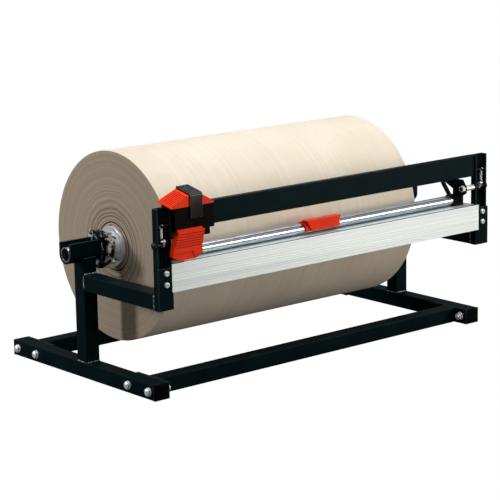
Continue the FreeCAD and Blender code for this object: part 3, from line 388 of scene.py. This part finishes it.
def kraft_face():
    """The outer wrap of pale kraft paper: matt, with fibre flecks, faint calender streaks that run
    round the roll, and soft clouds."""
    fleck_mm = 1.4
    streak_mm = 7.0
    cloud_mm = 120.0
    material, tree, shader, place = new_material("pale_kraft_paper")
    flecks = add(tree, "TexNoise", {"Scale": 1 / (fleck_mm * mm), "Detail": 4.0, "Roughness": 0.65},
                 {"Vector": place})
    streaks = add(tree, "TexNoise", {"Scale": 1.0, "Detail": 3.0},
                  {"Vector": stretched(tree, place, (1 / (streak_mm * mm), 2.0, 2.0))})
    cloud = add(tree, "TexNoise", {"Scale": 1 / (cloud_mm * mm), "Detail": 3.0}, {"Vector": place})
    base = ramp(tree, cloud.outputs["Fac"], ((0.3, "#CFC6B6"), (0.7, "#DAD2C4")))
    lined = blend_colour(tree, "MULTIPLY", 0.16, base,
                         ramp(tree, streaks.outputs["Fac"], ((0.3, "#D2CABF"), (0.65, "#FFFFFF"))))
    flecked = blend_colour(tree, "MULTIPLY", 0.4, lined,
                           ramp(tree, flecks.outputs["Fac"], ((0.28, "#B09C80"), (0.44, "#FFFFFF"))))
    tree.links.new(flecked, shader.inputs["Base Color"])
    height = add(tree, "Math", {"operation": "ADD"},
                 {0: flecks.outputs["Fac"], 1: streaks.outputs["Fac"]})
    bump = add(tree, "Bump", {"Strength": 0.2, "Distance": 0.1 * mm},
               {"Height": height.outputs["Value"]})
    tree.links.new(bump.outputs["Normal"], shader.inputs["Normal"])
    tree.links.new(spread(tree, flecks.outputs["Fac"], 0.74, 0.9), shader.inputs["Roughness"])
    set_shader(shader, IOR=1.45, Specular_IOR_Level=0.3, Sheen_Weight=0.06, Sheen_Roughness=0.5)
    return material


def kraft_edges():
    """The roll's ends: thousands of cut paper edges. Fine rings of slightly proud and sunk wraps show
    faintly, coarser than real so that they are seen. Dark wavy rings crowd round the core, and the
    rim has pale scuffs and radial dents."""
    ring_mm = 1.6
    band_mm = 6.0
    sway_mm = 45.0
    sway_deep_mm = 9.0
    scuff_mm = 5.0
    dark_start_mm = 4.0
    dark_reach_mm = 46.0
    rim_start_mm = 48.0
    material, tree, shader, place = new_material("cut_kraft_edges")
    centred, radius = roll_place(tree, place)
    sway = add(tree, "TexNoise", {"Scale": 1 / (sway_mm * mm), "Detail": 2.0}, {"Vector": centred})
    wobble = add(tree, "Math", {"operation": "MULTIPLY_ADD", 1: sway_deep_mm * mm},
                 {0: sway.outputs["Fac"], 2: radius})
    rings = add(tree, "TexNoise", {"noise_dimensions": "1D", "Scale": 1 / (ring_mm * mm), "Detail": 3.0},
                {"W": wobble.outputs["Value"]})
    bands = add(tree, "TexNoise", {"noise_dimensions": "1D", "Scale": 1 / (band_mm * mm), "Detail": 2.0},
                {"W": wobble.outputs["Value"]})
    near = add(tree, "MapRange", {"From Min": core_r + dark_start_mm * mm,
                                  "From Max": core_r + dark_reach_mm * mm,
                                  "To Min": 1.0, "To Max": 0.0}, {"Value": radius})
    rim = add(tree, "MapRange", {"From Min": paper_r - rim_start_mm * mm, "From Max": paper_r},
              {"Value": radius})
    scuffs = add(tree, "TexNoise", {"Scale": 1 / (scuff_mm * mm), "Detail": 6.0, "Roughness": 0.75,
                                    "Distortion": 1.5}, {"Vector": centred})
    base = ramp(tree, rings.outputs["Fac"], ((0.25, "#94836F"), (0.5, "#A59581"), (0.75, "#B3A491")))
    banded = blend_colour(tree, "MULTIPLY", 0.16, base,
                          ramp(tree, bands.outputs["Fac"], ((0.35, "#A08F79"), (0.6, "#FFFFFF"))))
    dark = ramp(tree, bands.outputs["Fac"], ((0.44, "#3B2C1E"), (0.5, "#FFFFFF")))
    ringed = blend_colour(tree, "MULTIPLY", near.outputs["Result"], banded, dark)
    rub_and_highlight = add(tree, "MapRange", {"From Min": 0.6, "From Max": 0.72},
                 {"Value": scuffs.outputs["Fac"]})
    pale = add(tree, "Math", {"operation": "MULTIPLY"},
               {0: rub_and_highlight.outputs["Result"], 1: rim.outputs["Result"]})
    tree.links.new(blend_colour(tree, "MIX", pale.outputs["Value"], ringed, "#D6CBBB"),
                   shader.inputs["Base Color"])
    dents = add(tree, "Math", {"operation": "MULTIPLY"},
                {0: scuffs.outputs["Fac"], 1: rim.outputs["Result"]})
    height = add(tree, "Math", {"operation": "MULTIPLY_ADD", 1: 0.35},
                 {0: rings.outputs["Fac"], 2: dents.outputs["Value"]})
    bump = add(tree, "Bump", {"Strength": 0.5, "Distance": 0.5 * mm},
               {"Height": height.outputs["Value"]})
    tree.links.new(bump.outputs["Normal"], shader.inputs["Normal"])
    set_shader(shader, Roughness=0.88, IOR=1.45, Specular_IOR_Level=0.2)
    return material


def core_board():
    """Grey brown spiral wound core board."""
    fibre_mm = 1.2
    wrap_mm = 60.0
    material, tree, shader, place = new_material("spiral_core_board")
    fibre = add(tree, "TexNoise", {"Scale": 1 / (fibre_mm * mm), "Detail": 5.0}, {"Vector": place})
    wrap = add(tree, "TexWave", {"wave_type": "BANDS", "bands_direction": "DIAGONAL",
                                 "Scale": 1 / (wrap_mm * mm), "Distortion": 1.0}, {"Vector": place})
    tone = ramp(tree, fibre.outputs["Fac"], ((0.3, "#6F5B43"), (0.7, "#9C8566")))
    seam = ramp(tree, wrap.outputs["Fac"], ((0.02, "#5A4A37"), (0.1, "#FFFFFF")))
    tree.links.new(blend_colour(tree, "MULTIPLY", 0.7, tone, seam), shader.inputs["Base Color"])
    bump = add(tree, "Bump", {"Strength": 0.3, "Distance": 0.15 * mm}, {"Height": fibre.outputs["Fac"]})
    tree.links.new(bump.outputs["Normal"], shader.inputs["Normal"])
    set_shader(shader, Roughness=0.9)
    return material


finish = {
    "frame_paint": frame_paint(),
    "zinc": zinc_plate(),
    "anodised_aluminium": anodised_aluminium(),
    "chrome": chrome_plate(),
    "bare_steel": bare_steel(),
    "spring_steel": spring_steel(),
    "red_plastic": moulded_plastic("red_abs", "#EA2F08", "#F8390C", 0.42, 0.7, 0.1),
    "black_plastic": moulded_plastic("black_abs", "#020203", "#040405", 0.42, 0.7, 0.03),
    "black_oxide": black_oxide(),
    "pale_plastic": moulded_plastic("pale_acetal", "#D9D7CF", "#ECEAE2", 0.4, 0.9),
    "core_board": core_board(),
    "kraft_paper": kraft_face(),
}
# The pale edge colour paints highlights on the button's rib crests.
button_finish = moulded_plastic("polished_black_abs", "#030304", "#070708", 0.16, 0.7, 0.3, "#B9BEC2")
chuck_finish = polished_chuck()
weld_finish = weld_metal()
edge_finish = kraft_edges()


def finish_cad_nodes():
    """Each CAD node that stays takes the detailed finish of its slot."""
    for part in frame["record"]["subparts"]:
        node = nodes[part["node"]]
        chosen = finish[part["material_slot"]]
        if part["node"].startswith("roll_chuck"):
            chosen = chuck_finish
        for slot in node.material_slots:
            slot.material = chosen


def add_piece(name, mesh, body, materials):
    """Puts a finished mesh in the scene, riding on a body."""
    piece = bpy.data.objects.new(name, mesh)
    bpy.context.scene.collection.objects.link(piece)
    for material in materials:
        mesh.materials.append(material)
    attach(piece, body)
    return piece


def mesh_from(shape, name, smooth_angle=None):
    """Turns a bmesh into a mesh with outward faces, smooth below the given angle."""
    bmesh.ops.recalc_face_normals(shape, faces=shape.faces)
    mesh = bpy.data.meshes.new(name)
    shape.to_mesh(mesh)
    shape.free()
    if smooth_angle is not None:
        for face in mesh.polygons:
            face.use_smooth = True
        mesh.set_sharp_from_angle(angle=math.radians(smooth_angle))
    return mesh


def softened(node, width_mm, look=None):
    """Stands in for a CAD node with the same shape, its edges rounded as moulded or cut edges are."""
    merge_mm = 0.005
    flat_angle = math.radians(1.0)
    smooth_angle = 35.0
    round_above = math.radians(28.0)
    shape = bmesh.new()
    shape.from_mesh(nodes[node].data)
    bmesh.ops.remove_doubles(shape, verts=shape.verts, dist=merge_mm * mm)
    bmesh.ops.dissolve_limit(shape, angle_limit=flat_angle, verts=shape.verts, edges=shape.edges)
    mesh = mesh_from(shape, node + "_soft_edges", smooth_angle)
    mesh.materials.clear()
    part = next(p for p in frame["record"]["subparts"] if p["node"] == node)
    piece = add_piece(node + "_finished", mesh, body_of_node[node],
                      [look or finish[part["material_slot"]]])
    round_off = piece.modifiers.new("rounded edges", "BEVEL")
    round_off.width = width_mm * mm
    round_off.segments = 3
    round_off.limit_method = "ANGLE"
    round_off.angle_limit = round_above
    round_off.harden_normals = True
    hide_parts(node)


def paper_roll():
    """The wound roll: a smooth outer wrap and two ends of proud and sunk wraps round the core bore."""
    rings_per_end = 64
    steps = 160
    proud_mm = 0.32
    sway_mm = 0.5
    sway_near_core_mm = 0.6
    wavy_near_core_mm = 34.0
    rim_mm = 0.6
    rim_kept_mm = 2.0
    end_reach_mm = 3.0
    merge_mm = 0.01
    spans_along = 10
    face_side, end_side = 0, 1
    half = (roll_high.x - roll_low.x) / 2
    mid_x = (roll_high.x + roll_low.x) / 2
    span = paper_r - core_r - rim_mm * mm
    shape = bmesh.new()
    line = []
    for k in range(rings_per_end + 1):
        r = core_r + span * k / rings_per_end
        lift = noise.noise(Vector((k * 0.61, 3.0, 0.0))) * proud_mm * mm - proud_mm * mm
        line.append((-half - lift, r))
    line.append((-half + rim_mm * mm, paper_r))
    for k in range(1, spans_along):
        line.append((-half + 2 * half * k / spans_along, paper_r))
    line += [(-x, r) for x, r in reversed(line[:rings_per_end + 2])]
    outline = [shape.verts.new((mid_x + x, axis_y, axis_z + r)) for x, r in line]
    for vert, following in zip(outline, outline[1:] + outline[:1]):
        shape.edges.new((vert, following))
    bmesh.ops.spin(shape, geom=shape.verts[:] + shape.edges[:], cent=(0, axis_y, axis_z), axis=(1, 0, 0),
                   angle=2 * math.pi, steps=steps, use_merge=True, use_duplicate=False)
    bmesh.ops.remove_doubles(shape, verts=shape.verts, dist=merge_mm * mm)
    for vert in shape.verts:
        arm = Vector((0, vert.co.y - axis_y, vert.co.z - axis_z))
        at_end = abs(vert.co.x - mid_x) > half - end_reach_mm * mm
        if at_end and arm.length < paper_r - rim_kept_mm * mm:
            near = max(0.0, 1 - (arm.length - core_r) / (wavy_near_core_mm * mm))
            side = 1 if vert.co.x > mid_x else -1
            wave = noise.noise(Vector((arm.y * 28, arm.z * 28, side * 5.0 + arm.length * 60)))
            vert.co.x += side * wave * (sway_mm + near * sway_near_core_mm) * mm * 0.5
    for face in shape.faces:
        centre = face.calc_center_median()
        off_axis = math.hypot(centre.y - axis_y, centre.z - axis_z)
        cut_edge = abs(face.normal.x) > 0.3 and off_axis < paper_r - 0.2 * mm
        face.material_index = end_side if cut_edge else face_side
    mesh = mesh_from(shape, "wound_paper", 40.0)
    piece = add_piece("wound_paper_roll", mesh, "roll",
                      [finish["kraft_paper"], edge_finish])
    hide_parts("paper_roll")


def weld_bead(shape, start, end, radius, seed):
    """A rippled fillet of weld from start to end, made by pushing an eight sided face along."""
    way = (end - start).normalized()
    step = radius * 0.55
    count = max(4, int((end - start).length / step))
    turn = Vector((0, 0, 1)).rotation_difference(way).to_matrix().to_4x4()
    made = bmesh.ops.create_circle(shape, cap_ends=True, segments=8, radius=radius * 0.5,
                                   matrix=Matrix.Translation(start) @ turn)
    face = next(f for f in made["verts"][0].link_faces)
    size = 0.5
    for k in range(1, count + 1):
        pushed = bmesh.ops.extrude_discrete_faces(shape, faces=[face])
        face = pushed["faces"][0]
        wanted = 0.8 + 0.25 * math.cos(k * 2.4) + 0.2 * noise.noise(Vector((k * 0.7, seed, 0.0)))
        wanted = 0.45 if k == count else wanted
        bmesh.ops.translate(shape, verts=face.verts, vec=way * (end - start).length / count)
        centre = face.calc_center_median()
        bmesh.ops.scale(shape, verts=face.verts, vec=(wanted / size,) * 3,
                        space=Matrix.Translation(-centre))
        size = wanted


def weld_beads():
    """Fillet welds where the tubes of each side frame meet."""
    bead_mm = 1.7
    inset_mm = 1.5
    right_seed = 40
    for side in ("left", "right"):
        shape = bmesh.new()
        up_low, up_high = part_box("upright_" + side)
        arm_low, arm_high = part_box("arm_" + side)
        rail_low, rail_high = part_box("upper_rail")
        inset = inset_mm * mm
        runs = []
        for x in (up_low.x, up_high.x):
            runs.append((Vector((x, up_low.y + inset, up_low.z)),
                         Vector((x, up_high.y - inset, up_low.z))))
            runs.append((Vector((x, arm_high.y, arm_low.z + 2 * inset)),
                         Vector((x, arm_high.y, arm_high.z - 2 * inset))))
            runs.append((Vector((x, arm_low.y, arm_low.z + 2 * inset)),
                         Vector((x, arm_low.y, arm_high.z - 2 * inset))))
        for y in (up_low.y, up_high.y):
            runs.append((Vector((up_low.x + inset, y, up_low.z)),
                         Vector((up_high.x - inset, y, up_low.z))))
        for z in (arm_low.z, arm_high.z):
            runs.append((Vector((arm_low.x + inset, arm_high.y, z)),
                         Vector((arm_high.x - inset, arm_high.y, z))))
        runs.append((Vector((arm_low.x + inset, arm_low.y, arm_high.z)),
                     Vector((arm_high.x - inset, arm_low.y, arm_high.z))))
        x_in = rail_low.x if side == "left" else rail_high.x
        runs.append((Vector((x_in, rail_high.y, rail_low.z + inset)),
                     Vector((x_in, rail_high.y, rail_high.z - inset))))
        for k, (start, end) in enumerate(runs):
            weld_bead(shape, start, end, bead_mm * mm, k + (0 if side == "left" else right_seed))
        bmesh.ops.recalc_face_normals(shape, faces=shape.faces)
        add_piece("weld_beads_" + side, mesh_from(shape, "weld_beads", 60.0), "frame",
                  [weld_finish])


def soft_box_light(name, size, place, aim, power, colour):
    """A rectangular area light at a place, turned to an aim. Size in metres, power in watts."""
    lamp = bpy.data.lights.new(name, "AREA")
    lamp.shape = "RECTANGLE"
    lamp.size, lamp.size_y = size
    lamp.energy = power
    lamp.color = linear(colour)[:3]
    holder = bpy.data.objects.new(name, lamp)
    bpy.context.scene.collection.objects.link(holder)
    holder.location = place
    holder.rotation_euler = (Vector(aim) - Vector(place)).to_track_quat("-Z", "Y").to_euler()


def sky_strength(tree, low, high):
    """Brightness of the room by height: dark near the horizon, bright overhead."""
    way = add(tree, "TexCoord").outputs["Generated"]
    height = add(tree, "SeparateXYZ", links={"Vector": way}).outputs["Z"]
    node = add(tree, "MapRange", {"interpolation_type": "SMOOTHSTEP", "From Min": 0.12, "From Max": 0.85,
                                  "To Min": low, "To Max": high}, {"Value": height})
    return node.outputs["Result"]


def white_room():
    """A room that looks plain white, and lights the object from above only."""
    world = bpy.data.worlds.new("studio")
    world.use_nodes = True
    tree = world.node_tree
    seen = tree.nodes["Background"]
    seen.inputs["Color"].default_value = (1, 1, 1, 1)
    seen.inputs["Strength"].default_value = 1.06
    light = add(tree, "Background", {"Color": linear("#FBFCFF")},
                {"Strength": sky_strength(tree, 0.015, 0.7)})
    path = add(tree, "LightPath")
    mix = add(tree, "MixShader", links={0: path.outputs["Is Camera Ray"], 1: light.outputs[0],
                                        2: seen.outputs[0]})
    tree.links.new(mix.outputs[0], tree.nodes["World Output"].inputs["Surface"])
    bpy.context.scene.world = world


def studio_floor():
    """A plain pale floor that looks nearly white and throws back less light than it seems to."""
    floor_half = 14.0
    seen_share = 0.94
    shape = bmesh.new()
    bmesh.ops.create_grid(shape, x_segments=1, y_segments=1, size=floor_half)
    floor = bpy.data.objects.new("studio_floor", mesh_from(shape, "studio_floor"))
    bpy.context.scene.collection.objects.link(floor)
    material, tree, shader, _ = new_material("white_studio_paper")
    set_shader(shader, Base_Color=linear("#676665"), Roughness=0.9, Specular_IOR_Level=0.0)
    glow = add(tree, "Emission", {"Color": (1, 1, 1, 1), "Strength": 1.07})
    path = add(tree, "LightPath")
    share = add(tree, "Math", {"operation": "MULTIPLY", 1: seen_share},
                {0: path.outputs["Is Camera Ray"]})
    mix = add(tree, "MixShader", links={0: share.outputs["Value"], 1: shader.outputs[0],
                                        2: glow.outputs[0]})
    tree.links.new(mix.outputs[0], tree.nodes["Material Output"].inputs["Surface"])
    floor.data.materials.append(material)


def studio():
    """Soft light from above, from the left behind the object, and from the front right."""
    studio_floor()
    white_room()
    soft_box_light("overhead_softbox", (2.4, 1.4), (0.1, -0.45, 2.2), (0, 0, 0.2),
                   43.0, "#FFFDF7")
    soft_box_light("left_back_softbox", (0.3, 0.5), (-2.2, 1.15, 0.9), (-0.3, 0, 0.2),
                   28.0, "#F8FCFF")
    soft_box_light("front_right_softbox", (1.4, 0.7), (1.5, -2.0, 0.45), (0.1, -0.2, 0.2),
                   25.0, "#FFF4E7")


def photo_camera():
    """The photograph's view: a long lens from the left and a little above, turned very slightly."""
    focal_px = 1952.78
    frame_px = 500
    sensor_mm = 36.0
    yaw = math.radians(40.0)
    pitch = math.radians(-12.09)
    tilt = math.radians(-1.07)
    place = Vector((-2.37453, -2.81309, 0.96633))
    data = bpy.data.cameras.new("photo_camera")
    data.sensor_width = sensor_mm
    data.lens = focal_px * sensor_mm / frame_px
    data.clip_start = 0.05
    data.clip_end = 60.0
    camera = bpy.data.objects.new("photo_camera", data)
    bpy.context.scene.collection.objects.link(camera)
    ahead = Vector((math.sin(yaw) * math.cos(pitch), math.cos(yaw) * math.cos(pitch), math.sin(pitch)))
    right = Vector((math.cos(yaw), -math.sin(yaw), 0))
    up = right.cross(ahead)
    turned_right = right * math.cos(tilt) + up * math.sin(tilt)
    turned_up = up * math.cos(tilt) - right * math.sin(tilt)
    pose = Matrix((turned_right, turned_up, -ahead)).transposed().to_4x4()
    camera.matrix_world = Matrix.Translation(place) @ pose
    bpy.context.scene.camera = camera


finish_cad_nodes()
paper_roll()
weld_beads()
for soft_node, soft_width in (("head_cap", 0.3), ("head_body", 0.8), ("blade_housing", 0.4),
                              ("clamp_grip", 0.6), ("clamp_end_block_left", 0.6),
                              ("clamp_end_block_right", 0.6)):
    softened(soft_node, soft_width)
softened("thumb_button", 0.6, button_finish)
studio()
photo_camera()
bpy.context.scene.view_settings.view_transform = "Standard"
